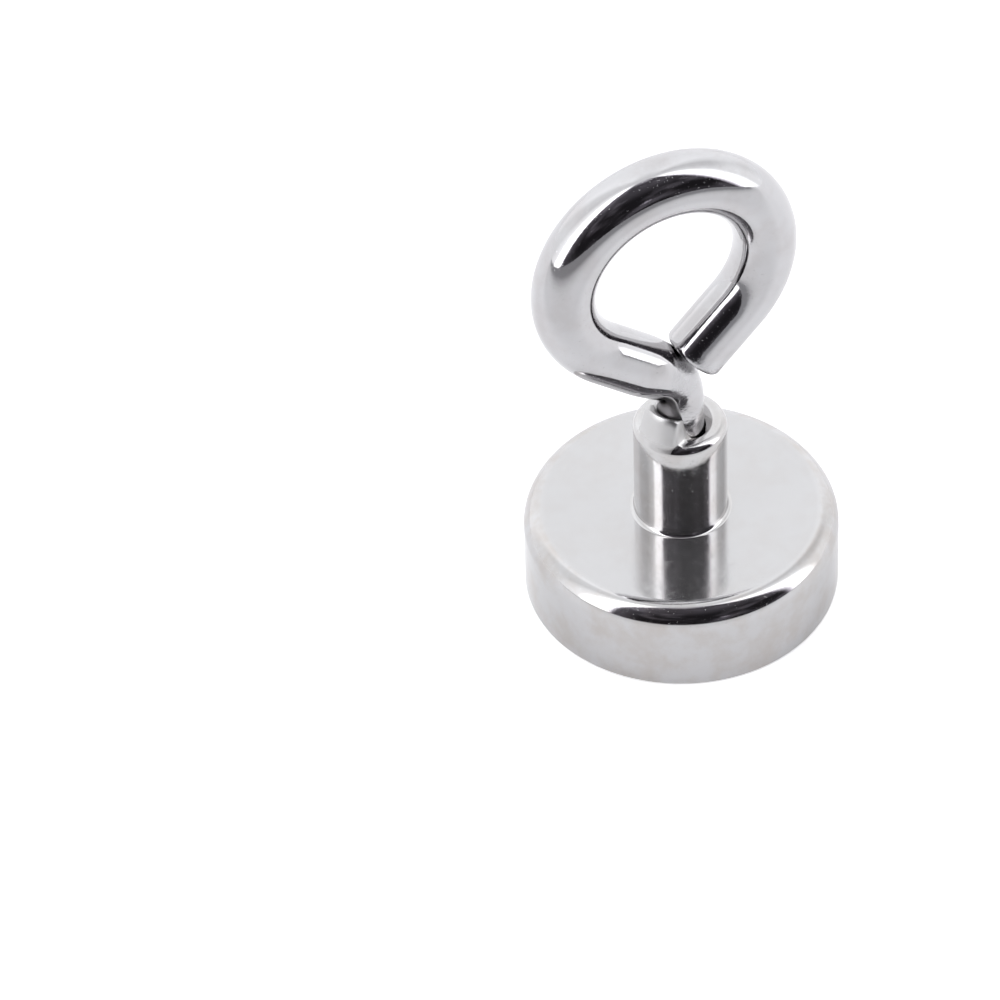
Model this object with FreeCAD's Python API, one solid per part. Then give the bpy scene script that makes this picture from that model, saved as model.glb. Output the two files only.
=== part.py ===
import FreeCAD, Part
import math
import os

# Magnet fishing magnet, in millimetres.
# A plated steel cup holds a disc magnet in resin. A threaded boss is riveted into the cup's closed end,
# and an eyebolt bent from one length of round steel screws into the boss.
# Frame: the origin is the middle of the working face, +Z points up along the eyebolt's shank, and the eye lies
# in the XZ plane with the wire's free end on the +X side.

# ---- steel cup -------------------------------------------------------------------------------------------
cup_diameter = 25.0
cup_height = 7.7
cup_wall = 1.9
cup_plate = 2.6
cup_shoulder_radius = 1.8
cup_rim_radius = 0.25

# ---- magnet and resin ------------------------------------------------------------------------------------
resin_gap = 0.8
resin_recess = 0.25
bond_thickness = 0.1
magnet_edge_chamfer = 0.2

# ---- threaded boss ---------------------------------------------------------------------------------------
boss_diameter = 7.4
boss_height = 9.3
boss_top_radius = 0.7
boss_foot_fillet = 0.35
boss_mouth_chamfer = 0.6
tail_shoulder = 0.8
tail_flare = 0.8
bore_depth = 10.0
drill_point_angle = 118.0

# One side of the boss's lip is drawn up into a tongue that closes on the shank, so that the eyebolt can't work
# loose by itself. The tongue's outer face leans inwards, and its top is bevelled down towards the shank.
stake_angle = 207.0
stake_width = 3.5
stake_corner_radius = 0.9
stake_rise = 2.45
stake_root = 0.8
stake_lean = 0.85
stake_edge_width = 0.12
stake_gap = 0.05

# ---- eyebolt ---------------------------------------------------------------------------------------------
wire_diameter = 5.0
eye_centreline_radius = 8.45
eye_offset = -1.2
stem_limb_slope = 39.0
free_limb_slope = 46.0
free_end_offset = 1.0
free_end_chamfer = 0.45
free_end_gap = 0.06
neck_bend_radius = 4.6
neck_taper_length = 2.4
neck_taper_share = 0.46
shank_showing = 2.26
thread_diameter = 4.0
shank_undersize = 0.2
thread_clearance = 0.05
thread_start_depth = 0.8
thread_reach = 8.6
thread_tip_chamfer = 0.45

# ---- what follows from those sizes -----------------------------------------------------------------------
cup_radius = cup_diameter / 2
cavity_radius = cup_radius - cup_wall
cavity_height = cup_height - cup_plate
magnet_radius = cavity_radius - resin_gap
magnet_height = cavity_height - bond_thickness
boss_radius = boss_diameter / 2
boss_top = cup_height + boss_height
tail_radius = boss_radius - tail_shoulder
bore_radius = thread_diameter / 2
mouth_radius = bore_radius + boss_mouth_chamfer
crest_radius = bore_radius - thread_clearance
shank_radius = (thread_diameter - shank_undersize) / 2
wire_radius = wire_diameter / 2
neck_radius = wire_radius - (wire_radius - shank_radius) * neck_taper_share
stem_angle = math.radians(stem_limb_slope)
neck_reach = neck_bend_radius * math.tan((math.pi / 2 - stem_angle) / 2)
stem_start_offset = eye_centreline_radius * math.sin(stem_angle) - eye_offset
stem_rise = stem_start_offset * math.tan(stem_angle) + eye_centreline_radius * math.cos(stem_angle)
eye_height = boss_top + shank_showing + neck_reach + stem_rise

UP = FreeCAD.Vector(0, 0, 1)
ORIGIN = FreeCAD.Vector(0, 0, 0)


def turned(outline):
    """A solid of revolution about Z from closed (radius, height) points."""
    points = [FreeCAD.Vector(radius, 0, height) for radius, height in outline]
    face = Part.Face(Part.makePolygon(points + points[:1]))
    return face.revolve(ORIGIN, UP, 360)


def ring_edges(shape, radius, height):
    """The circular edges of a turned shape at one radius and height."""
    found = []
    for edge in shape.Edges:
        round_edge = isinstance(edge.Curve, Part.Circle)
        if round_edge and abs(edge.Curve.Radius - radius) < 1e-4 and abs(edge.Curve.Center.z - height) < 1e-4:
            found.append(edge)
    return found


def tail_outline(foot, top):
    """The boss's tail: a round stem that flares out over the plate's countersink at its lower end."""
    return [
        (0, foot),
        (tail_radius + tail_flare, foot),
        (tail_radius, foot + tail_flare),
        (tail_radius, top),
        (0, top),
    ]


def steel_cup():
    """Turned cup, open at the bottom, with a hole in its plate for the boss's riveted tail."""
    cup = Part.makeCylinder(cup_radius, cup_height)
    cup = cup.makeFillet(cup_shoulder_radius, ring_edges(cup, cup_radius, cup_height))
    cup = cup.makeFillet(cup_rim_radius, ring_edges(cup, cup_radius, 0))
    cup = cup.cut(Part.makeCylinder(cavity_radius, cavity_height))
    return cup.cut(turned(tail_outline(cavity_height, cup_height)))


def magnet_disc():
    disc = Part.makeCylinder(magnet_radius, magnet_height)
    edges = ring_edges(disc, magnet_radius, 0) + ring_edges(disc, magnet_radius, magnet_height)
    return disc.makeChamfer(magnet_edge_chamfer, edges)


def resin_ring():
    """Cast resin that fills the gap round the magnet and stops just short of the working face."""
    height = cavity_height - resin_recess
    base = FreeCAD.Vector(0, 0, resin_recess)
    ring = Part.makeCylinder(cavity_radius, height, base)
    return ring.cut(magnet_disc()).cut(bond_film())


def bond_film():
    """Thin film of the same resin between the magnet and the cup's plate."""
    return Part.makeCylinder(magnet_radius, bond_thickness, FreeCAD.Vector(0, 0, magnet_height))


def bore_tool():
    """The tapped hole: a countersunk mouth, the bore and the drill's point."""
    floor = boss_top - bore_depth
    point_depth = bore_radius / math.tan(math.radians(drill_point_angle / 2))
    return turned([
        (0, floor - point_depth),
        (bore_radius, floor),
        (bore_radius, boss_top - (mouth_radius - bore_radius)),
        (mouth_radius, boss_top),
        (0, boss_top),
    ])


def staked_tongue():
    """The part of the lip that is drawn up and in: a slice of a cone, bevelled and open for the shank."""
    top = boss_top + stake_rise
    root = boss_top - stake_root
    edge_radius = boss_radius - stake_lean
    cone = Part.makeCone(boss_radius, edge_radius, top - root, FreeCAD.Vector(0, 0, root))
    slab = Part.makeBox(boss_diameter, stake_width, top - root, FreeCAD.Vector(0, -stake_width / 2, root))
    corners = []
    for edge in slab.Edges:
        middle = edge.BoundBox.Center
        if abs(middle.z - top) < 1e-4 and abs(abs(middle.y) - stake_width / 2) < 1e-4:
            corners.append(edge)
    slab = slab.makeFillet(stake_corner_radius, corners)
    slab.rotate(ORIGIN, UP, stake_angle)
    gap_radius = shank_radius + stake_gap
    bevel = edge_radius - stake_edge_width - gap_radius
    bevel_foot = FreeCAD.Vector(0, 0, top - bevel)
    thread_top = boss_top - thread_start_depth
    bore_foot = FreeCAD.Vector(0, 0, thread_top + stake_gap - boss_height)
    tongue = cone.common(slab)
    tongue = tongue.cut(Part.makeCone(gap_radius, gap_radius + bevel, bevel, bevel_foot))
    tongue = tongue.cut(Part.makeCylinder(bore_radius, boss_height, bore_foot))
    return tongue.cut(Part.makeCylinder(gap_radius, boss_height, FreeCAD.Vector(0, 0, thread_top)))


def threaded_boss():
    """Turned boss with a small radius at its foot, its tail riveted through the cup's plate."""
    base = FreeCAD.Vector(0, 0, cup_height)
    neck = Part.makeCylinder(boss_radius, boss_height, base)
    neck = neck.makeFillet(boss_top_radius, ring_edges(neck, boss_radius, boss_top))
    foot = Part.makeCylinder(boss_radius + boss_foot_fillet, boss_foot_fillet, base)
    cove_height = cup_height + boss_foot_fillet
    cove = Part.makeTorus(boss_radius + boss_foot_fillet, boss_foot_fillet, FreeCAD.Vector(0, 0, cove_height))
    boss = neck.fuse(foot.cut(cove)).fuse(turned(tail_outline(cavity_height, cup_height)))
    boss = boss.cut(bore_tool())
    return boss.fuse(staked_tongue()).removeSplitter()


def in_plane(x, z):
    return FreeCAD.Vector(x, 0, z)


def limb_heading(slope, side):
    """Direction along a straight limb, down towards the shank, from the +X side (1) or the -X side (-1)."""
    angle = math.radians(slope)
    return in_plane(-side * math.cos(angle), -math.sin(angle))


def tangent_point(slope, side):
    """Where a limb leaves the eye's round part."""
    angle = math.radians(slope)
    return in_plane(
        eye_offset + side * eye_centreline_radius * math.sin(angle),
        eye_height - eye_centreline_radius * math.cos(angle),
    )


def stem_path():
    """Start, taper start, bend start and bend end of the limb that turns down into the shank."""
    start = tangent_point(stem_limb_slope, -1)
    heading = limb_heading(stem_limb_slope, -1)
    corner = start + heading * (-start.x / heading.x)
    bend_start = corner - heading * neck_reach
    return start, bend_start - heading * neck_taper_length, bend_start, corner - UP * neck_reach


def round_bar(start, end, radius):
    run = end - start
    return Part.makeCylinder(radius, run.Length, start, run)


def neck_bend(start, end, start_radius, end_radius):
    """The bend from the limb down into the shank, swept from one round section to a smaller one."""
    heading = limb_heading(stem_limb_slope, -1)
    middle_angle = math.radians(90 - stem_limb_slope) / 2
    centre = end - in_plane(neck_bend_radius, 0)
    middle = centre + in_plane(math.cos(middle_angle), math.sin(middle_angle)) * neck_bend_radius
    spine = Part.Wire(Part.Arc(start, middle, end).toShape())
    first = Part.Wire(Part.Circle(start, heading, start_radius).toShape())
    last = Part.Wire(Part.Circle(end, UP * -1, end_radius).toShape())
    return spine.makePipeShell([first, last], True, True)


def stem_limb(growth):
    """The limb from the eye to the plain shank, thicker all round by a growth."""
    start, taper_start, bend_start, bend_end = stem_path()
    thick = wire_radius + growth
    thin = neck_radius + growth
    run = bend_start - taper_start
    limb = round_bar(start, taper_start, thick)
    limb = limb.fuse(Part.makeCone(thick, thin, run.Length, taper_start, run))
    return limb.fuse(neck_bend(bend_start, bend_end, thin, shank_radius + growth))


def eye_arc():
    """The round part of the eye, over the top from one limb to the other."""
    outline = Part.Circle(tangent_point(free_limb_slope, 1), limb_heading(free_limb_slope, 1), wire_radius)
    section = Part.Face(Part.Wire(outline.toShape()))
    sweep = 180 + (90 - stem_limb_slope) + (90 - free_limb_slope)
    return section.revolve(in_plane(eye_offset, eye_height), FreeCAD.Vector(0, -1, 0), sweep)


def free_limb():
    """The wire's free end, cut square, its edge broken, and coped to the bend that it closes against."""
    start = tangent_point(free_limb_slope, 1)
    heading = limb_heading(free_limb_slope, 1)
    end = start + heading * ((free_end_offset - start.x) / heading.x)
    body_end = end - heading * free_end_chamfer
    bar = round_bar(start, body_end, wire_radius)
    tip = Part.makeCone(wire_radius, wire_radius - free_end_chamfer, free_end_chamfer, body_end, heading)
    return bar.fuse(tip).cut(stem_limb(free_end_gap))


def eyebolt():
    """One length of round bar: the eye, the stem limb, the bend, the plain shank and the threaded end."""
    bend_end = stem_path()[-1]
    thread_top = boss_top - thread_start_depth
    thread_foot = boss_top - thread_reach
    thread = turned([
        (0, thread_foot),
        (crest_radius - thread_tip_chamfer, thread_foot),
        (crest_radius, thread_foot + thread_tip_chamfer),
        (crest_radius, thread_top - (crest_radius - shank_radius)),
        (shank_radius, thread_top),
        (0, thread_top),
    ])
    bolt = eye_arc().fuse(stem_limb(0))
    bolt = bolt.fuse(round_bar(in_plane(0, thread_top), bend_end, shank_radius))
    return bolt.fuse(thread).fuse(free_limb()).removeSplitter()


os.makedirs("parts", exist_ok=True)
pieces = {
    "steel_cup": steel_cup(),
    "disc_magnet": magnet_disc(),
    "resin_ring": resin_ring(),
    "magnet_bond_film": bond_film(),
    "threaded_boss": threaded_boss(),
    "eyebolt": eyebolt(),
}
for name, shape in pieces.items():
    shape.exportStep(os.path.join("parts", name + ".step"))
    print(name, "solids", len(shape.Solids), "valid", shape.isValid(), "volume", round(shape.Volume, 2))
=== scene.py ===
import math
import bmesh
import bpy
from mathutils import Matrix, Vector
from mathutils.bvhtree import BVHTree


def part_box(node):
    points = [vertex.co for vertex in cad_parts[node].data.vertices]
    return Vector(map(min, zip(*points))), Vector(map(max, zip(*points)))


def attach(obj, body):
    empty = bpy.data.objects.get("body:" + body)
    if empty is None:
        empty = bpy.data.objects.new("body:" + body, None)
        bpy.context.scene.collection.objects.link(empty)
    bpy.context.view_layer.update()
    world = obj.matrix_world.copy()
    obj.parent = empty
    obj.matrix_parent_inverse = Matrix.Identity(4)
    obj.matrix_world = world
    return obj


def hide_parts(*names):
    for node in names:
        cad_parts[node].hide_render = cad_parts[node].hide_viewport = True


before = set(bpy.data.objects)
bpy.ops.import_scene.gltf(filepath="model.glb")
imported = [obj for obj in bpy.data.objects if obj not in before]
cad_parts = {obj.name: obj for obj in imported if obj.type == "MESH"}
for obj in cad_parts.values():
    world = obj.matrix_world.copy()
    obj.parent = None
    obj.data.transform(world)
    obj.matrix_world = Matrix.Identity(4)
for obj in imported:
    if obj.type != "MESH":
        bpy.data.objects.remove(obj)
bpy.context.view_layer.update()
scene = bpy.context.scene

# ---- steel cup --------------------------------------------------------------------------------------------
# The cup that carries the magnet and gathers its field at the rim. It is turned from mild steel with a rolled
# shoulder, open underneath, and bright nickel plated all over before the magnet goes in.
cup_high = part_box("steel_cup")[1]
film_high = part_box("magnet_bond_film")[1]
resin_low, resin_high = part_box("resin_ring")
cup_radius = cup_high.x
cup_height = cup_high.z
shoulder_radius = 0.0018
rim_radius = 0.00025
cavity_chamfer = 0.0001
cavity_radius = resin_high.x
ceiling = film_high.z
tail_radius = 0.0029
tail_flare = 0.0008
flat_margin = 0.00002
hairline_depth = 1.2e-7
pore_depth = 6e-6


def round_corner(centre_radius, centre_height, radius, first, last, steps):
    """Points (radius, height) round a corner of a turned outline, between two angles in degrees."""
    points = []
    for step in range(steps + 1):
        angle = math.radians(first + (last - first) * step / steps)
        points.append((centre_radius + radius * math.cos(angle), centre_height + radius * math.sin(angle)))
    return points


def straight(start, end, steps):
    """Points (radius, height) along a straight stretch of an outline, without its two ends."""
    return [
        (start[0] + (end[0] - start[0]) * step / steps, start[1] + (end[1] - start[1]) * step / steps)
        for step in range(1, steps)
    ]


def finished(name, mesh, corner_degrees=35):
    """Puts a mesh into the scene, its normals outwards, shaded smooth except across real corners."""
    bmesh.ops.recalc_face_normals(mesh, faces=mesh.faces)
    for edge in mesh.edges:
        edge.smooth = edge.calc_face_angle(0) < math.radians(corner_degrees)
    for face in mesh.faces:
        face.smooth = True
    data = bpy.data.meshes.new(name)
    mesh.to_mesh(data)
    mesh.free()
    piece = bpy.data.objects.new(name, data)
    scene.collection.objects.link(piece)
    return piece


def turned(outline_at, sides=320, closed=True):
    """A turned mesh. outline_at(angle) gives (radius, height) points; one on the axis becomes a pole."""
    mesh = bmesh.new()
    rows = []
    columns = [outline_at(2 * math.pi * side / sides) for side in range(sides)]
    for index in range(len(columns[0])):
        if columns[0][index][0] < 1e-7:
            rows.append([mesh.verts.new((0, 0, columns[0][index][1]))])
            continue
        row = []
        for side, column in enumerate(columns):
            angle = 2 * math.pi * side / sides
            radius, height = column[index]
            row.append(mesh.verts.new((radius * math.cos(angle), radius * math.sin(angle), height)))
        rows.append(row)
    following = rows[1:] + rows[:1] if closed else rows[1:]
    for lower, upper in zip(rows, following):
        for side in range(sides):
            after = side + 1
            ring = [lower[side % len(lower)], lower[after % len(lower)]]
            ring += [upper[after % len(upper)], upper[side % len(upper)]]
            corners = list(dict.fromkeys(ring))
            if len(corners) > 2:
                mesh.faces.new(corners)
    return mesh


class Value:
    """One output of a node, so that node maths is written as plain expressions."""

    def __init__(self, tree, socket):
        self.tree = tree
        self.socket = socket

    def math(self, operation, first, second):
        return self.tree.node("ShaderNodeMath", {"operation": operation}, {0: first, 1: second})

    def __add__(self, other):
        return self.math("ADD", self, other)

    def __radd__(self, other):
        return self.math("ADD", other, self)

    def __sub__(self, other):
        return self.math("SUBTRACT", self, other)

    def __rsub__(self, other):
        return self.math("SUBTRACT", other, self)

    def __mul__(self, other):
        return self.math("MULTIPLY", self, other)

    def __rmul__(self, other):
        return self.math("MULTIPLY", other, self)

    def __truediv__(self, other):
        return self.math("DIVIDE", self, other)

    def __pow__(self, other):
        return self.math("POWER", self, other)

    def __abs__(self):
        return self.math("ABSOLUTE", self, 0.0)


class Nodes:
    """A node tree. node() adds any node: its settings first, then its sockets' values or links."""

    def __init__(self, tree):
        self.tree = tree

    def node(self, kind, settings=None, inputs=None, out=0):
        made = self.tree.nodes.new(kind)
        for key, value in (settings or {}).items():
            if key == "stops":
                while len(made.color_ramp.elements) < len(value):
                    made.color_ramp.elements.new(0.5)
                for stop, (place, colour) in zip(made.color_ramp.elements, value):
                    stop.position = place
                    stop.color = (*colour, 1)
            else:
                setattr(made, key, value)
        for key, value in (inputs or {}).items():
            self.feed(made.inputs[key], value)
        return Value(self, made.outputs[out])

    def feed(self, socket, value):
        if isinstance(value, Value):
            self.tree.links.new(value.socket, socket)
        else:
            socket.default_value = value

    def smooth_step(self, value, start, end):
        """0 before start and 1 after end, easing in between."""
        return self.node(
            "ShaderNodeMapRange",
            {"interpolation_type": "SMOOTHSTEP"},
            {0: value, 1: start, 2: end, 3: 0.0, 4: 1.0},
        )

    def mixed_colour(self, share, first, second):
        return self.node("ShaderNodeMix", {"data_type": "RGBA"}, {0: share, 6: first, 7: second}, out=2)

    def noise(self, place, scale, detail=2.0, roughness=0.5):
        sockets = {"Vector": place, "Scale": scale, "Detail": detail, "Roughness": roughness}
        return self.node("ShaderNodeTexNoise", {}, sockets)

    def stretched(self, place, scale):
        return self.node("ShaderNodeMapping", {"vector_type": "POINT"}, {"Vector": place, "Scale": scale})

    def coordinate(self, place, axis):
        """One coordinate of a place: 0 is x, 1 is y and 2 is z."""
        return self.node("ShaderNodeSeparateXYZ", {}, {0: place}, out=axis)

    def along(self, place, heading):
        """How far a place lies along a heading."""
        settings = {"operation": "DOT_PRODUCT"}
        return self.node("ShaderNodeVectorMath", settings, {0: place, 1: heading}, out="Value")

    def apart(self, first, second):
        """How far apart two places are."""
        settings = {"operation": "DISTANCE"}
        return self.node("ShaderNodeVectorMath", settings, {0: first, 1: second}, out="Value")


class Finish(Nodes):
    """A material with one Principled surface."""

    def __init__(self, name):
        self.material = bpy.data.materials.new(name)
        self.material.use_nodes = True
        super().__init__(self.material.node_tree)
        self.surface = self.tree.nodes["Principled BSDF"]

    def bump(self, height):
        return self.node("ShaderNodeBump", {}, {"Strength": 1.0, "Distance": 1.0, "Height": height})

    def set(self, **values):
        for name, value in values.items():
            self.feed(self.surface.inputs[name.replace("_", " ")], value)
        return self.material


def nickel_plate(
    name, bright, stained, smooth, hazy, ripple, dull_where=None, dull=0.0, haziness=0.0, bumps=0.0
):
    """Bright nickel over steel: a faint blotchy tone, hazy patches, orange-peel ripple, pores and hairlines.
    bright and stained are its two tones, smooth and hazy its two roughnesses, ripple the peel's height.
    dull_where(finish, place) marks where it is rougher by dull, milkier by haziness, and lumpy by bumps."""
    finish = Finish(name)
    place = finish.node("ShaderNodeTexCoord", out="Object")
    blotch = finish.smooth_step(finish.noise(place, 320.0, 5.0, 0.62), 0.38, 0.68)
    haze = finish.smooth_step(finish.noise(place, 1100.0, 4.0, 0.6), 0.45, 0.75)
    peel = finish.noise(place, 3600.0, 2.0, 0.5)
    pores = finish.smooth_step(finish.noise(place, 7000.0, 1.0), 0.71, 0.80)
    hair = finish.noise(finish.stretched(place, (700.0, 900.0, 16000.0)), 1.0, 2.0)
    scratch = finish.smooth_step(abs(hair - 0.5), 0.012, 0.0)
    height = peel * ripple - scratch * hairline_depth - pores * pore_depth
    roughness = smooth + haze * (hazy - smooth) + scratch * 0.04
    metal = 1.0
    if dull_where:
        where = dull_where(finish, place)
        blotch = blotch * (1.0 - where * 0.75)
        roughness = roughness + where * dull
        metal = 1.0 - where * haziness
        height = height + finish.noise(place, 3400.0, 3.0, 0.6) * where * bumps
    return finish.set(
        Base_Color=finish.mixed_colour(blotch, bright, stained),
        Metallic=metal,
        Roughness=roughness,
        Normal=finish.bump(height),
    )


def flat_top(finish, place):
    """1 on the cup's flat top, which is turned but not polished, and 0 elsewhere."""
    return finish.smooth_step(
        finish.coordinate(place, 2), cup_height - 4 * flat_margin, cup_height - flat_margin
    )


def cup_outline(angle):
    flat_radius = cup_radius - shoulder_radius
    points = [(tail_radius, cup_height)]
    points += straight(points[-1], (flat_radius, cup_height), 10)
    points += round_corner(flat_radius, cup_height - shoulder_radius, shoulder_radius, 90, 0, 30)
    points += straight(points[-1], (cup_radius, rim_radius), 6)
    points += round_corner(cup_radius - rim_radius, rim_radius, rim_radius, 0, -90, 6)
    points += [(cavity_radius + cavity_chamfer, 0), (cavity_radius, cavity_chamfer), (cavity_radius, ceiling)]
    points += [(tail_radius + tail_flare, ceiling), (tail_radius, ceiling + tail_flare)]
    return points


steel_cup = finished("steel_cup_plated", turned(cup_outline))
cup_plate = nickel_plate(
    "bright_nickel_on_cup",
    bright=(0.58, 0.575, 0.58, 1),
    stained=(0.53, 0.505, 0.49, 1),
    smooth=0.07,
    hazy=0.14,
    ripple=1.0e-6,
    dull_where=flat_top,
    dull=0.05,
    haziness=0.09,
)
steel_cup.data.materials.append(cup_plate)
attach(steel_cup, "magnet_body")
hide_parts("steel_cup")

# ---- disc magnet ------------------------------------------------------------------------------------------
# A pressed and sintered neodymium disc, ground flat, with broken edges and its own duller nickel coat. It
# sits in the cup with its lower face flush with the rim.
magnet_low, magnet_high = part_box("disc_magnet")
magnet_edge = 0.0002


def magnet_outline(angle):
    radius = magnet_high.x
    points = [(0, magnet_low.z)]
    points += straight(points[0], (radius, magnet_low.z), 12)
    points += round_corner(radius - magnet_edge, magnet_low.z + magnet_edge, magnet_edge, -90, 0, 5)
    points += round_corner(radius - magnet_edge, magnet_high.z - magnet_edge, magnet_edge, 0, 90, 5)
    points += [(0, magnet_high.z)]
    return points


magnet = finished("disc_magnet_plated", turned(magnet_outline, sides=192, closed=False))
magnet_plate = nickel_plate(
    "nickel_on_magnet",
    bright=(0.56, 0.555, 0.55, 1),
    stained=(0.47, 0.46, 0.45, 1),
    smooth=0.16,
    hazy=0.30,
    ripple=9e-7,
)
magnet.data.materials.append(magnet_plate)
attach(magnet, "magnet_body")
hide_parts("disc_magnet")

# ---- resin ring and bond film -----------------------------------------------------------------------------
# Black two-part epoxy, poured round the magnet and cured, which also glues it to the cup's plate. Its surface
# sinks between the two walls as it cures, and holds a few burst bubbles.
resin_sag = 0.00018
resin_steps = 10
cloud_height = 6e-6
pit_depth = 1.2e-5


def resin_outline(angle):
    inner, outer = magnet_high.x, resin_high.x
    wander = 0.5 + 0.3 * math.sin(3 * angle + 0.7) + 0.2 * math.sin(7 * angle)
    points = []
    for step in range(resin_steps + 1):
        across = step / resin_steps
        sag = resin_sag * (0.7 + 0.3 * wander) * math.sin(math.pi * across)
        points.append((inner + (outer - inner) * across, resin_low.z + sag))
    points += [(outer, resin_high.z), (inner, resin_high.z)]
    return points


resin = finished("resin_ring_cast", turned(resin_outline, sides=192))
cured = Finish("black_epoxy")
cured_place = cured.node("ShaderNodeTexCoord", out="Object")
cured_cloud = cured.noise(cured_place, 900.0, 4.0)
cured_bubble = cured.node("ShaderNodeTexVoronoi", {}, {"Vector": cured_place, "Scale": 2600.0})
cured_pit = cured.smooth_step(cured_bubble, 0.22, 0.08)
cured_height = cured_cloud * cloud_height - cured_pit * pit_depth
black_epoxy = cured.set(
    Base_Color=cured.mixed_colour(cured_cloud, (0.012, 0.012, 0.013, 1), (0.035, 0.034, 0.034, 1)),
    Roughness=0.22 + cured_cloud * 0.22,
    Normal=cured.bump(cured_height),
)
resin.data.materials.append(black_epoxy)
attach(resin, "magnet_body")
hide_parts("resin_ring")
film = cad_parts["magnet_bond_film"]
film.data.materials.clear()
film.data.materials.append(black_epoxy)

# ---- threaded boss ----------------------------------------------------------------------------------------
# A turned steel neck, tapped M4 and countersunk at its mouth, whose tail is riveted through the cup's plate.
# One side of its lip is drawn up into a tongue that closes on the eyebolt's shank and stops it working loose.
boss_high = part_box("threaded_boss")[1]
boss_radius = 0.0037
boss_top = 0.0170
boss_top_radius = 0.0007
boss_foot = 0.00035
mouth_radius = 0.0026
lip_edge = 0.0001
bore_radius = 0.0020
bore_floor = 0.0070
drill_point = 0.0058
tongue_angle = math.radians(207)
tongue_top = boss_high.z
tongue_root = boss_top - 0.0008
tongue_lean = 0.00085
tongue_half_width = 0.00175
tongue_corner = 0.0009
tongue_bevel = 0.00012
tongue_edge = 0.0003
tongue_blend = 0.0005
tongue_reach = math.radians(75)
shank_gap_radius = 0.00196
shank_gap_depth = 0.0006
lip_heart = (0.00285, 0.0158)
dull_below = 0.0003
dull_above = 0.0004
lip_first_angle = -66
lip_sweep = 306
lip_steps = 150
lip_searches = 24


def soft_least(first, second, blend):
    """The lesser of two distances, rounded over where they cross."""
    share = max(blend - abs(first - second), 0) / blend
    return min(first, second) - share * share * blend / 4


def outside_corner(across, up, radius):
    """How far a point lies outside two faces that meet square in a rounded edge."""
    across, up = across + radius, up + radius
    return min(max(across, up), 0) + math.hypot(max(across, 0), max(up, 0)) - radius


def lip_distance(radius, height, away):
    """How far a point lies outside the lip: a rounded, countersunk rim that runs smoothly into its tongue."""
    above = height - boss_top
    rim = outside_corner(radius - boss_radius, above, boss_top_radius)
    hole = max(bore_radius - radius, (mouth_radius + above - radius) * math.sqrt(0.5))
    rim = -soft_least(-rim, -hole, lip_edge)
    if away > tongue_reach:
        return rim
    slope = tongue_lean / (tongue_top - tongue_root)
    lean = (radius - boss_radius + (height - tongue_root) * slope) / math.hypot(1, slope)
    bevel = (height - tongue_top + boss_radius - tongue_lean - tongue_bevel - radius) * math.sqrt(0.5)
    sides = outside_corner(radius * math.sin(away) - tongue_half_width, height - tongue_top, tongue_corner)
    tongue = -soft_least(-max(lean, bevel, radius - boss_radius), -sides, tongue_edge)
    blend = max(min(tongue_blend, boss_radius - radius), 1e-6)
    gap = shank_gap_radius if above > -shank_gap_depth else bore_radius
    return -soft_least(-soft_least(rim, tongue, blend), radius - gap, lip_edge)


def lip_outline(away):
    """The lip's outline at one angle from the tongue, walked outwards from the heart of its section."""
    points = []
    for step in range(lip_steps + 1):
        angle = math.radians(lip_first_angle + lip_sweep * step / lip_steps)
        reach = 0
        for _ in range(lip_searches):
            radius = lip_heart[0] + reach * math.cos(angle)
            height = lip_heart[1] + reach * math.sin(angle)
            reach -= lip_distance(radius, height, away) * 0.9
        points.append((radius, height))
    return points


plain_lip = lip_outline(math.pi)


def boss_outline(angle):
    away = abs((angle - tongue_angle + math.pi) % (2 * math.pi) - math.pi)
    foot_top = cup_height + boss_foot
    lip = lip_outline(away) if away < tongue_reach else plain_lip
    points = [(0, ceiling), (tail_radius + tail_flare, ceiling), (tail_radius, ceiling + tail_flare)]
    points += [(tail_radius, cup_height), (boss_radius + boss_foot, cup_height)]
    points += round_corner(boss_radius + boss_foot, foot_top, boss_foot, -90, -180, 8)[1:]
    points += straight((boss_radius, foot_top), lip[0], 12)
    return points + lip + [(bore_radius, bore_floor), (0, drill_point)]


def drawn_tongue(finish, place):
    """1 on the tongue, which drawing it up has left dull, and 0 below it."""
    return finish.smooth_step(finish.coordinate(place, 2), boss_top - dull_below, boss_top + dull_above)


boss = finished("threaded_boss_plated", turned(boss_outline, sides=320, closed=False))
boss_plate = nickel_plate(
    "bright_nickel_on_boss",
    bright=(0.59, 0.585, 0.585, 1),
    stained=(0.54, 0.52, 0.51, 1),
    smooth=0.05,
    hazy=0.13,
    ripple=1.0e-6,
    dull_where=drawn_tongue,
    dull=0.30,
    haziness=0.05,
    bumps=2e-6,
)
boss.data.materials.append(boss_plate)
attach(boss, "magnet_body")
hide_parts("threaded_boss")

# ---- eyebolt ----------------------------------------------------------------------------------------------
# One length of 5 mm round steel, drawn down to a 3.8 mm shank with a rolled M4 thread, then bent round a
# mandrel into a teardrop eye. The cropped free end closes against the bend. Bright nickel plated after that.
bolt_low, bolt_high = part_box("eyebolt")
wire_radius = bolt_high.y
eye_radius = (bolt_high.x - bolt_low.x) / 2 - wire_radius
eye_centre = Vector(((bolt_high.x + bolt_low.x) / 2, 0, bolt_high.z - wire_radius - eye_radius))
stem_slope = math.radians(39)
free_slope = math.radians(46)
free_length = 0.00558
free_tip_start = 0.0022
free_edge_radius = 0.00045
free_gap = 0.00004
bend_radius = 0.0046
neck_taper = 0.0024
shank_radius = 0.0019
thread_clearance = 0.00005
crest_radius = bore_radius - thread_clearance
thread_pitch = 0.0007
thread_depth = 0.00036
thread_top = boss_top - 0.0008
thread_foot = bolt_low.z
thread_run_out = 0.0009
thread_lead = 0.0004
tip_chamfer = 0.00045
marks_centre = (0.0002, -0.0020, 0.0230)
marks_radius = 0.0024
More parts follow.
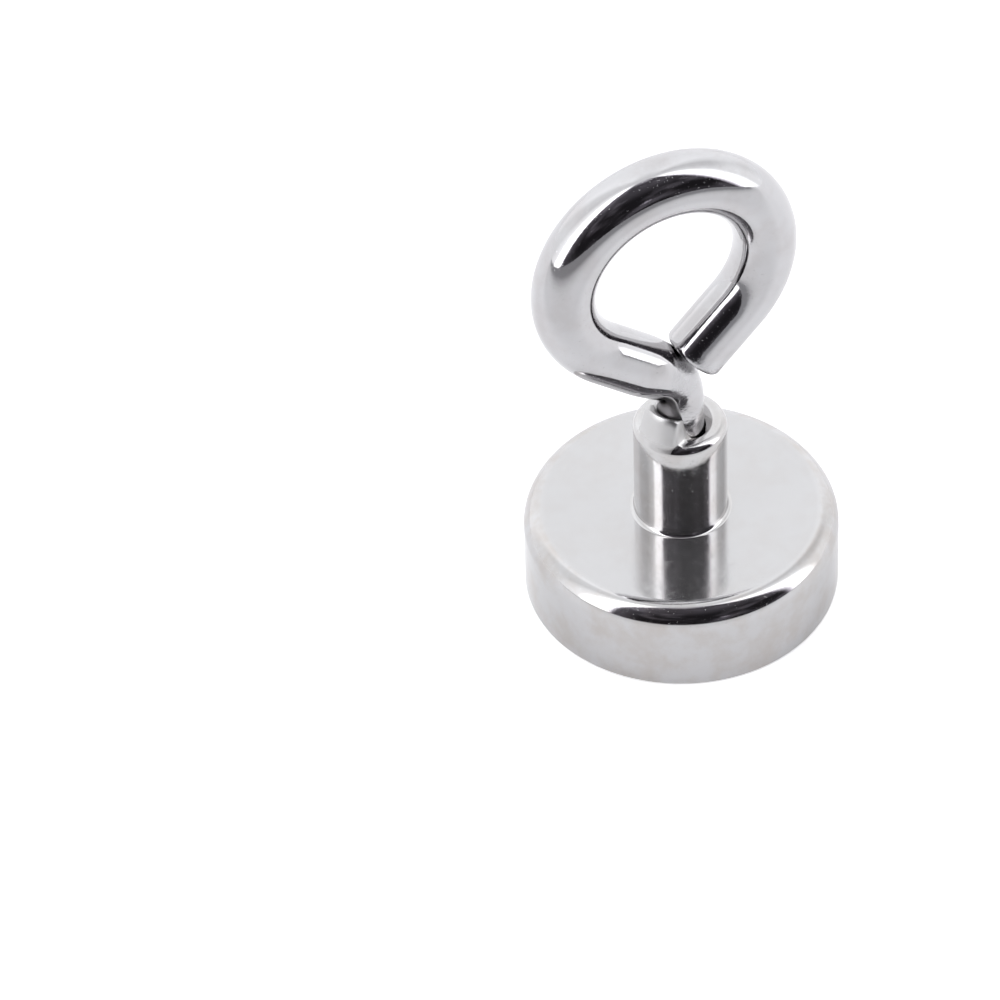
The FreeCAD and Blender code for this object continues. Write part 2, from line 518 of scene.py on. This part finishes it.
shank_dull_from = 0.0208
shank_dull_below = 0.0198
bar_sides = 128
free_spacing = 0.00015
bar_spacing = 0.00012
thread_spacing = 0.00005
thread_swell = 0.00015
eye_steps = 300
bend_steps = 44
side_rows, edge_rows, face_rows = 24, 6, 12


def limb_start(slope, side):
    return eye_centre + Vector((side * eye_radius * math.sin(slope), 0, -eye_radius * math.cos(slope)))


def limb_heading(slope, side):
    return Vector((-side * math.cos(slope), 0, -math.sin(slope)))


def stations(start, end, spacing, first_radius, last_radius):
    """(point, radius) along a straight run of the bar, without its far end."""
    count = max(2, round((end - start).length / spacing))
    return [
        (start.lerp(end, step / count), first_radius + (last_radius - first_radius) * step / count)
        for step in range(count)
    ]


def round_point(centre, radius, angle):
    """A point of a bend in the eye's plane."""
    return centre + Vector((math.cos(angle), 0, math.sin(angle))) * radius


def neck_radius(gone, bend_length):
    """The bar's radius at a distance past the start of its last bend, where it is drawn down to the shank."""
    share = min(1, max(0, (gone + neck_taper) / (neck_taper + bend_length)))
    return wire_radius + (shank_radius - wire_radius) * share * share * (3 - 2 * share)


def bar_stations():
    """(point, radius) all along the bar, from the free end, over the eye and down to the thread's tip."""
    free = limb_start(free_slope, 1)
    stem = limb_start(stem_slope, -1)
    down = limb_heading(stem_slope, -1)
    corner = stem + down * (-stem.x / down.x)
    turn = math.pi / 2 - stem_slope
    reach = bend_radius * math.tan(turn / 2)
    bend_start = corner - down * reach
    bend_end = corner - Vector((0, 0, reach))
    bend_length = bend_radius * turn
    free_tip = free + limb_heading(free_slope, 1) * free_tip_start
    run = stations(free_tip, free, free_spacing, wire_radius, wire_radius)
    sweep = 2 * math.pi - stem_slope - free_slope
    for step in range(eye_steps):
        angle = free_slope - math.pi / 2 + sweep * step / eye_steps
        run.append((round_point(eye_centre, eye_radius, angle), wire_radius))
    for place, radius in stations(stem, bend_start, bar_spacing, wire_radius, wire_radius):
        run.append((place, neck_radius((place - bend_start).dot(down), bend_length)))
    middle = bend_end - Vector((bend_radius, 0, 0))
    for step in range(bend_steps):
        share = step / bend_steps
        place = round_point(middle, bend_radius, turn * (1 - share))
        run.append((place, neck_radius(bend_length * share, bend_length)))
    top = Vector((0, 0, thread_top))
    swell = Vector((0, 0, thread_top - thread_swell))
    chamfer = Vector((0, 0, thread_foot + tip_chamfer))
    foot = Vector((0, 0, thread_foot))
    run += stations(bend_end, top, bar_spacing, shank_radius, shank_radius)
    run += stations(top, swell, thread_swell / 5, shank_radius, crest_radius)
    run += stations(swell, chamfer, thread_spacing, crest_radius, crest_radius)
    run += stations(chamfer, foot, thread_spacing, crest_radius, crest_radius - tip_chamfer)
    return run + [(foot, crest_radius - tip_chamfer)]


def bar_curve(name, run):
    data = bpy.data.curves.new(name, "CURVE")
    data.dimensions = "3D"
    spline = data.splines.new("POLY")
    spline.points.add(len(run) - 1)
    for point, (place, radius) in zip(spline.points, run):
        point.co = (*place, 1)
        point.radius = radius
    curve = bpy.data.objects.new(name, data)
    scene.collection.objects.link(curve)
    return curve


def bar_tree(material):
    """Geometry Nodes that sweep a round section along the bar and roll the thread into its lower end."""
    group = bpy.data.node_groups.new("bent_bar", "GeometryNodeTree")
    group.interface.new_socket("Geometry", in_out="INPUT", socket_type="NodeSocketGeometry")
    for label in ("Sides", "Thread pitch", "Thread depth", "Thread top", "Thread foot"):
        kind = "NodeSocketInt" if label == "Sides" else "NodeSocketFloat"
        group.interface.new_socket(label, in_out="INPUT", socket_type=kind)
    group.interface.new_socket("Geometry", in_out="OUTPUT", socket_type="NodeSocketGeometry")
    tree = Nodes(group)
    entry = group.nodes.new("NodeGroupInput")
    given = {socket.name: Value(tree, socket) for socket in entry.outputs if socket.name}
    section = tree.node("GeometryNodeCurvePrimitiveCircle", {}, {"Resolution": given["Sides"], "Radius": 1.0})
    swept = tree.node(
        "GeometryNodeCurveToMesh",
        {},
        {"Curve": given["Geometry"], "Profile Curve": section, "Scale": tree.node("GeometryNodeInputRadius")},
    )
    place = tree.node("GeometryNodeInputPosition")
    x, y, z = [tree.coordinate(place, axis) for axis in range(3)]
    turn = x.math("ARCTAN2", y, x) / (2 * math.pi)
    phase = x.math("FRACT", z / given["Thread pitch"] - turn + 100.0, 0.0)
    flank = tree.smooth_step(abs(phase * 2.0 - 1.0), 0.12, 0.88)
    top, foot = given["Thread top"], given["Thread foot"]
    below_top = tree.node("ShaderNodeMapRange", {}, {0: z, 1: top, 2: top - thread_run_out, 3: 0.0, 4: 1.0})
    above_foot = tree.node("ShaderNodeMapRange", {}, {0: z, 1: foot, 2: foot + thread_lead, 3: 0.0, 4: 1.0})
    cut = flank * given["Thread depth"] * below_top * above_foot / bore_radius
    inwards = tree.node("ShaderNodeCombineXYZ", {}, {0: x * cut * -1.0, 1: y * cut * -1.0, 2: 0.0})
    rolled = tree.node("GeometryNodeSetPosition", {}, {"Geometry": swept, "Offset": inwards})
    real = tree.node("GeometryNodeRealizeInstances", {}, {"Geometry": rolled})
    plated = tree.node("GeometryNodeSetMaterial", {}, {"Geometry": real, "Material": material})
    leave = group.nodes.new("NodeGroupOutput")
    tree.feed(leave.inputs[0], plated)
    return group


def swept_mesh(curve, material, sides):
    """Runs the tree on a curve and returns its result as a plain mesh; the curve goes."""
    modifier = curve.modifiers.new("bar", "NODES")
    modifier.node_group = bar_tree(material)
    sizes = {
        "Sides": sides,
        "Thread pitch": thread_pitch,
        "Thread depth": thread_depth,
        "Thread top": thread_top,
        "Thread foot": thread_foot,
    }
    for item in modifier.node_group.interface.items_tree:
        if item.in_out == "INPUT" and item.name in sizes:
            modifier[item.identifier] = sizes[item.name]
    bpy.context.view_layer.update()
    evaluated = curve.evaluated_get(bpy.context.evaluated_depsgraph_get())
    mesh = bmesh.new()
    mesh.from_mesh(bpy.data.meshes.new_from_object(evaluated))
    curve.modifiers.remove(modifier)
    bpy.data.objects.remove(curve)
    return mesh


def open_rings(mesh):
    """The vertices of each open end of a swept bar."""
    loose = {vert for edge in mesh.edges if edge.is_boundary for vert in edge.verts}
    rings = []
    while loose:
        ring = [min(loose, key=lambda vert: vert.index)]
        loose.remove(ring[0])
        growing = True
        while growing:
            growing = False
            for edge in ring[-1].link_edges:
                other = edge.other_vert(ring[-1])
                if edge.is_boundary and other in loose:
                    loose.remove(other)
                    ring.append(other)
                    growing = True
                    break
        rings.append(ring)
    return rings


def close_free_end(mesh, ring, blocked):
    """Runs the bar on from its open ring to a cropped end, coped to what blocks it, with its edge rounded."""
    origin = limb_start(free_slope, 1)
    heading = limb_heading(free_slope, 1)
    spokes = []
    for vert in ring:
        out = vert.co - origin
        spokes.append((out - heading * out.dot(heading)).normalized())

    def reach(spoke, radius):
        start = origin + spoke * radius + heading * free_tip_start
        place, _, _, distance = blocked.ray_cast(start, heading)
        return free_length if place is None else min(free_length, free_tip_start + distance)

    def row(places):
        return [mesh.verts.new(place) for place in places]

    rows = [ring]
    ends = [reach(spoke, wire_radius) - free_edge_radius for spoke in spokes]
    for step in range(1, side_rows + 1):
        share = step / side_rows
        rows.append(row(
            origin + spoke * wire_radius + heading * (free_tip_start + (end - free_tip_start) * share)
            for spoke, end in zip(spokes, ends)
        ))
    for step in range(1, edge_rows + 1):
        angle = math.radians(90 * step / edge_rows)
        radius = wire_radius - free_edge_radius * (1 - math.cos(angle))
        back = free_edge_radius * (1 - math.sin(angle))
        rows.append(row(
            origin + spoke * radius + heading * (reach(spoke, radius) - back) for spoke in spokes
        ))
    inner = wire_radius - free_edge_radius
    for step in range(1, face_rows):
        radius = inner * (1 - step / face_rows)
        rows.append(row(origin + spoke * radius + heading * reach(spoke, radius) for spoke in spokes))
    centre = mesh.verts.new(origin + heading * reach(spokes[0], 0.0))
    for lower, upper in zip(rows, rows[1:]):
        for side in range(len(ring)):
            after = (side + 1) % len(ring)
            mesh.faces.new((lower[side], lower[after], upper[after], upper[side]))
    for side in range(len(ring)):
        mesh.faces.new((rows[-1][side], rows[-1][(side + 1) % len(ring)], centre))


def closing_marks(finish, place):
    """1 on the neck under the free end, where closing the eye has left it lumpy, and less on the shank."""
    lumpy = finish.smooth_step(finish.apart(place, marks_centre), marks_radius, marks_radius / 2)
    shank = finish.smooth_step(finish.coordinate(place, 2), shank_dull_from, shank_dull_below)
    return lumpy + shank * 0.4


bolt_plate = nickel_plate(
    "bright_nickel_on_eyebolt",
    bright=(0.575, 0.57, 0.58, 1),
    stained=(0.535, 0.52, 0.525, 1),
    smooth=0.05,
    hazy=0.14,
    ripple=1.8e-6,
    dull_where=closing_marks,
    dull=0.22,
    haziness=0.05,
    bumps=5e-5,
)
whole_bar = bar_stations()
taper_at = max(index for index, (place, radius) in enumerate(whole_bar) if radius == wire_radius)
near_tip = whole_bar[taper_at - 40:taper_at + 70]
fat_bar = [(place, radius + free_gap) for place, radius in near_tip]
fat_mesh = swept_mesh(bar_curve("bend_outline", fat_bar), bolt_plate, 64)
blocked = BVHTree.FromBMesh(fat_mesh)
fat_mesh.free()
bar = swept_mesh(bar_curve("bar_line", whole_bar), bolt_plate, bar_sides)
for ring in open_rings(bar):
    if ring[0].co.z > boss_top:
        close_free_end(bar, ring, blocked)
    else:
        tip = bar.verts.new((0, 0, thread_foot))
        for side in range(len(ring)):
            bar.faces.new((ring[side], ring[(side + 1) % len(ring)], tip))
eyebolt = finished("eyebolt_plated", bar, corner_degrees=40)
eyebolt.data.materials.append(bolt_plate)
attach(eyebolt, "eyebolt_body")
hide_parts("eyebolt")

# ---- camera -----------------------------------------------------------------------------------------------
# A long lens looks down on the magnet from the front left, with the magnet right of the middle of the view.
view_azimuth = math.radians(-22.07)
view_elevation = math.radians(44.37)
view_roll = math.radians(-2.11)
view_distance = 0.525
lens_length = 235.4
sight_point = Vector((-0.01107, 0.01075, 0.00317))
towards_camera = Vector((
    math.sin(view_azimuth) * math.cos(view_elevation),
    -math.cos(view_azimuth) * math.cos(view_elevation),
    math.sin(view_elevation),
))
level_right = Vector((math.cos(view_azimuth), math.sin(view_azimuth), 0))
level_up = towards_camera.cross(level_right)
camera_right = level_right * math.cos(view_roll) + level_up * math.sin(view_roll)
camera_up = towards_camera.cross(camera_right)
camera_data = bpy.data.cameras.new("camera")
camera_data.lens = lens_length
camera_data.sensor_width = 36
camera_data.clip_end = 20
camera = bpy.data.objects.new("camera", camera_data)
scene.collection.objects.link(camera)
axes = Matrix((camera_right, camera_up, towards_camera)).transposed()
camera.matrix_world = Matrix.Translation(sight_point + towards_camera * view_distance) @ axes.to_4x4()
scene.camera = camera

# ---- floor ------------------------------------------------------------------------------------------------
# A plain white table top, matt, whose emission is a painted glow: a little stronger behind the magnet,
# and stronger still where the camera sees it straight on. In the plating, painted shade darkens its colour
# far out in front of the magnet. It can be seen through from underneath.
floor_mesh = bmesh.new()
bmesh.ops.create_grid(floor_mesh, x_segments=8, y_segments=8, size=4.0)
floor = finished("table_top", floor_mesh)
front = (math.sin(view_azimuth), -math.cos(view_azimuth), 0.0)
table_white = Finish("matt_white")
table_place = table_white.node("ShaderNodeTexCoord", out="Object")
table_grain = table_white.noise(table_place, 60.0, 3.0)
table_ahead = table_white.along(table_place, front)
table_seen = table_white.node("ShaderNodeLightPath", out="Is Camera Ray")
# Painted shade: the table's colour darkens ahead of the magnet, but only for rays other than the camera's.
near_shade = table_white.smooth_step(table_ahead, 0.015, 0.04) * 0.20
far_shade = table_white.smooth_step(table_ahead, 0.05, 0.20) * 0.68
table_shade = (0.08 + near_shade + far_shade) * (1.0 - table_seen)
# Painted light: the table's glow is a little stronger behind the magnet and where the camera sees it.
back_glow = table_white.smooth_step(table_ahead, 0.0, -0.03) * 0.06
table_glow = (0.26 + back_glow + table_seen * 0.28) * (1.0 - table_shade * 0.8)
table_white.set(
    Base_Color=table_white.mixed_colour(table_shade, (0.93, 0.93, 0.935, 1), (0.25, 0.25, 0.26, 1)),
    Roughness=0.88 + table_grain * 0.04,
    Specular_IOR_Level=0.0,
    Emission_Color=table_white.mixed_colour(table_glow, (0, 0, 0, 1), (1, 1, 1, 1)),
    Emission_Strength=1.0,
)
facing = table_white.node("ShaderNodeNewGeometry", out="Backfacing")
clear = table_white.node("ShaderNodeBsdfTransparent")
opaque = Value(table_white, table_white.surface.outputs[0])
shown = table_white.node("ShaderNodeMixShader", {}, {0: facing, 1: opaque, 2: clear})
table_white.feed(table_white.tree.nodes["Material Output"].inputs["Surface"], shown)
floor.data.materials.append(table_white.material)

# ---- light ------------------------------------------------------------------------------------------------
# A white tent of soft panels, brightest beside its opening, which faces the camera. The room outside is dark.
# The tent shows in the plating only; behind the magnet there is plain white.
room = bpy.data.worlds.new("light_tent")
scene.world = room
room.use_nodes = True
tent = Nodes(room.node_tree)
sight = tent.node("ShaderNodeTexCoord", out="Generated")
ahead = tent.along(sight, front)
aside = tent.along(sight, tuple(level_right))
rise = tent.coordinate(sight, 2)
swing = aside.math("ARCTAN2", aside, ahead) * (180 / math.pi)
lift = rise.math("ARCSINE", rise, 0.0) * (180 / math.pi)
brightest = 3.0


def panels(brightness):
    """Brightness round the tent, from behind the magnet, by the left, the front and the right, to behind."""
    turn = swing / 360 + 0.5
    stops = [((angle + 180) / 360, (value / brightest,) * 3) for angle, value in brightness]
    return tent.node("ShaderNodeValToRGB", {"stops": stops}, {0: turn}) * brightest


low_panels = panels([
    (-180, 1.27), (-150, 1.34), (-130, 1.44), (-117, 1.20), (-92, 1.17), (-82, 1.40),
    (-72, 1.60), (-69, 3.30), (-57, 3.30), (76, 2.80), (92, 2.30), (98, 1.32),
    (110, 1.34), (128, 1.16), (142, 1.30), (155, 1.36), (180, 1.27),
])
high_panels = panels([
    (-180, 1.28), (-150, 1.36), (-130, 1.46), (-117, 1.12), (-92, 1.04), (-80, 1.42),
    (-72, 1.60), (-69, 3.30), (-57, 3.30), (76, 2.80), (92, 2.30), (100, 1.25),
    (116, 0.98), (130, 0.92), (144, 1.25), (152, 1.40), (180, 1.28),
])
height_share = tent.smooth_step(lift, 22.0, 42.0)
walls = low_panels + height_share * (high_panels - low_panels)
roof = tent.smooth_step(lift, 68.0, 86.0)
cloth = walls + roof * (1.0 - walls)
opening = tent.smooth_step(swing, -51.5, -46.5) * tent.smooth_step(swing, 78.0, 68.0)
opening = opening * tent.smooth_step(lift, -5.0, -1.0) * tent.smooth_step(lift, 91.0, 78.0)
furniture = tent.smooth_step(tent.noise(sight, 3.2, 3.0), 0.45, 0.75) * 0.12
lamp_swing, lamp_lift = 26.0, 18.0
from_lamp = ((swing - lamp_swing) ** 2.0 + (lift - lamp_lift) ** 2.0) ** 0.5
lamp = tent.smooth_step(from_lamp, 4.0, 1.0) * 0.4
left_edge = tent.smooth_step(swing, -26.0, -46.0) * 0.10
upper_edge = tent.smooth_step(lift, 38.0, 66.0) * 0.07
dark = 0.018 + furniture + lamp + left_edge + upper_edge
brightness = cloth + opening * (dark - cloth)
tint = tent.mixed_colour(opening, (0.99, 1.0, 1.02, 1), (0.93, 0.86, 1.0, 1))
glow = tent.node("ShaderNodeVectorMath", {"operation": "SCALE"}, {0: tint, "Scale": brightness})
lit = tent.node("ShaderNodeBackground", {}, {"Color": glow, "Strength": 1.0})
plain = tent.node("ShaderNodeBackground", {}, {"Color": (1, 1, 1, 1), "Strength": 1.0})
seen = tent.node("ShaderNodeLightPath", out="Is Camera Ray")
around = tent.node("ShaderNodeMixShader", {}, {0: seen, 1: lit, 2: plain})
tent.feed(room.node_tree.nodes["World Output"].inputs["Surface"], around)
scene.view_settings.view_transform = "Standard"
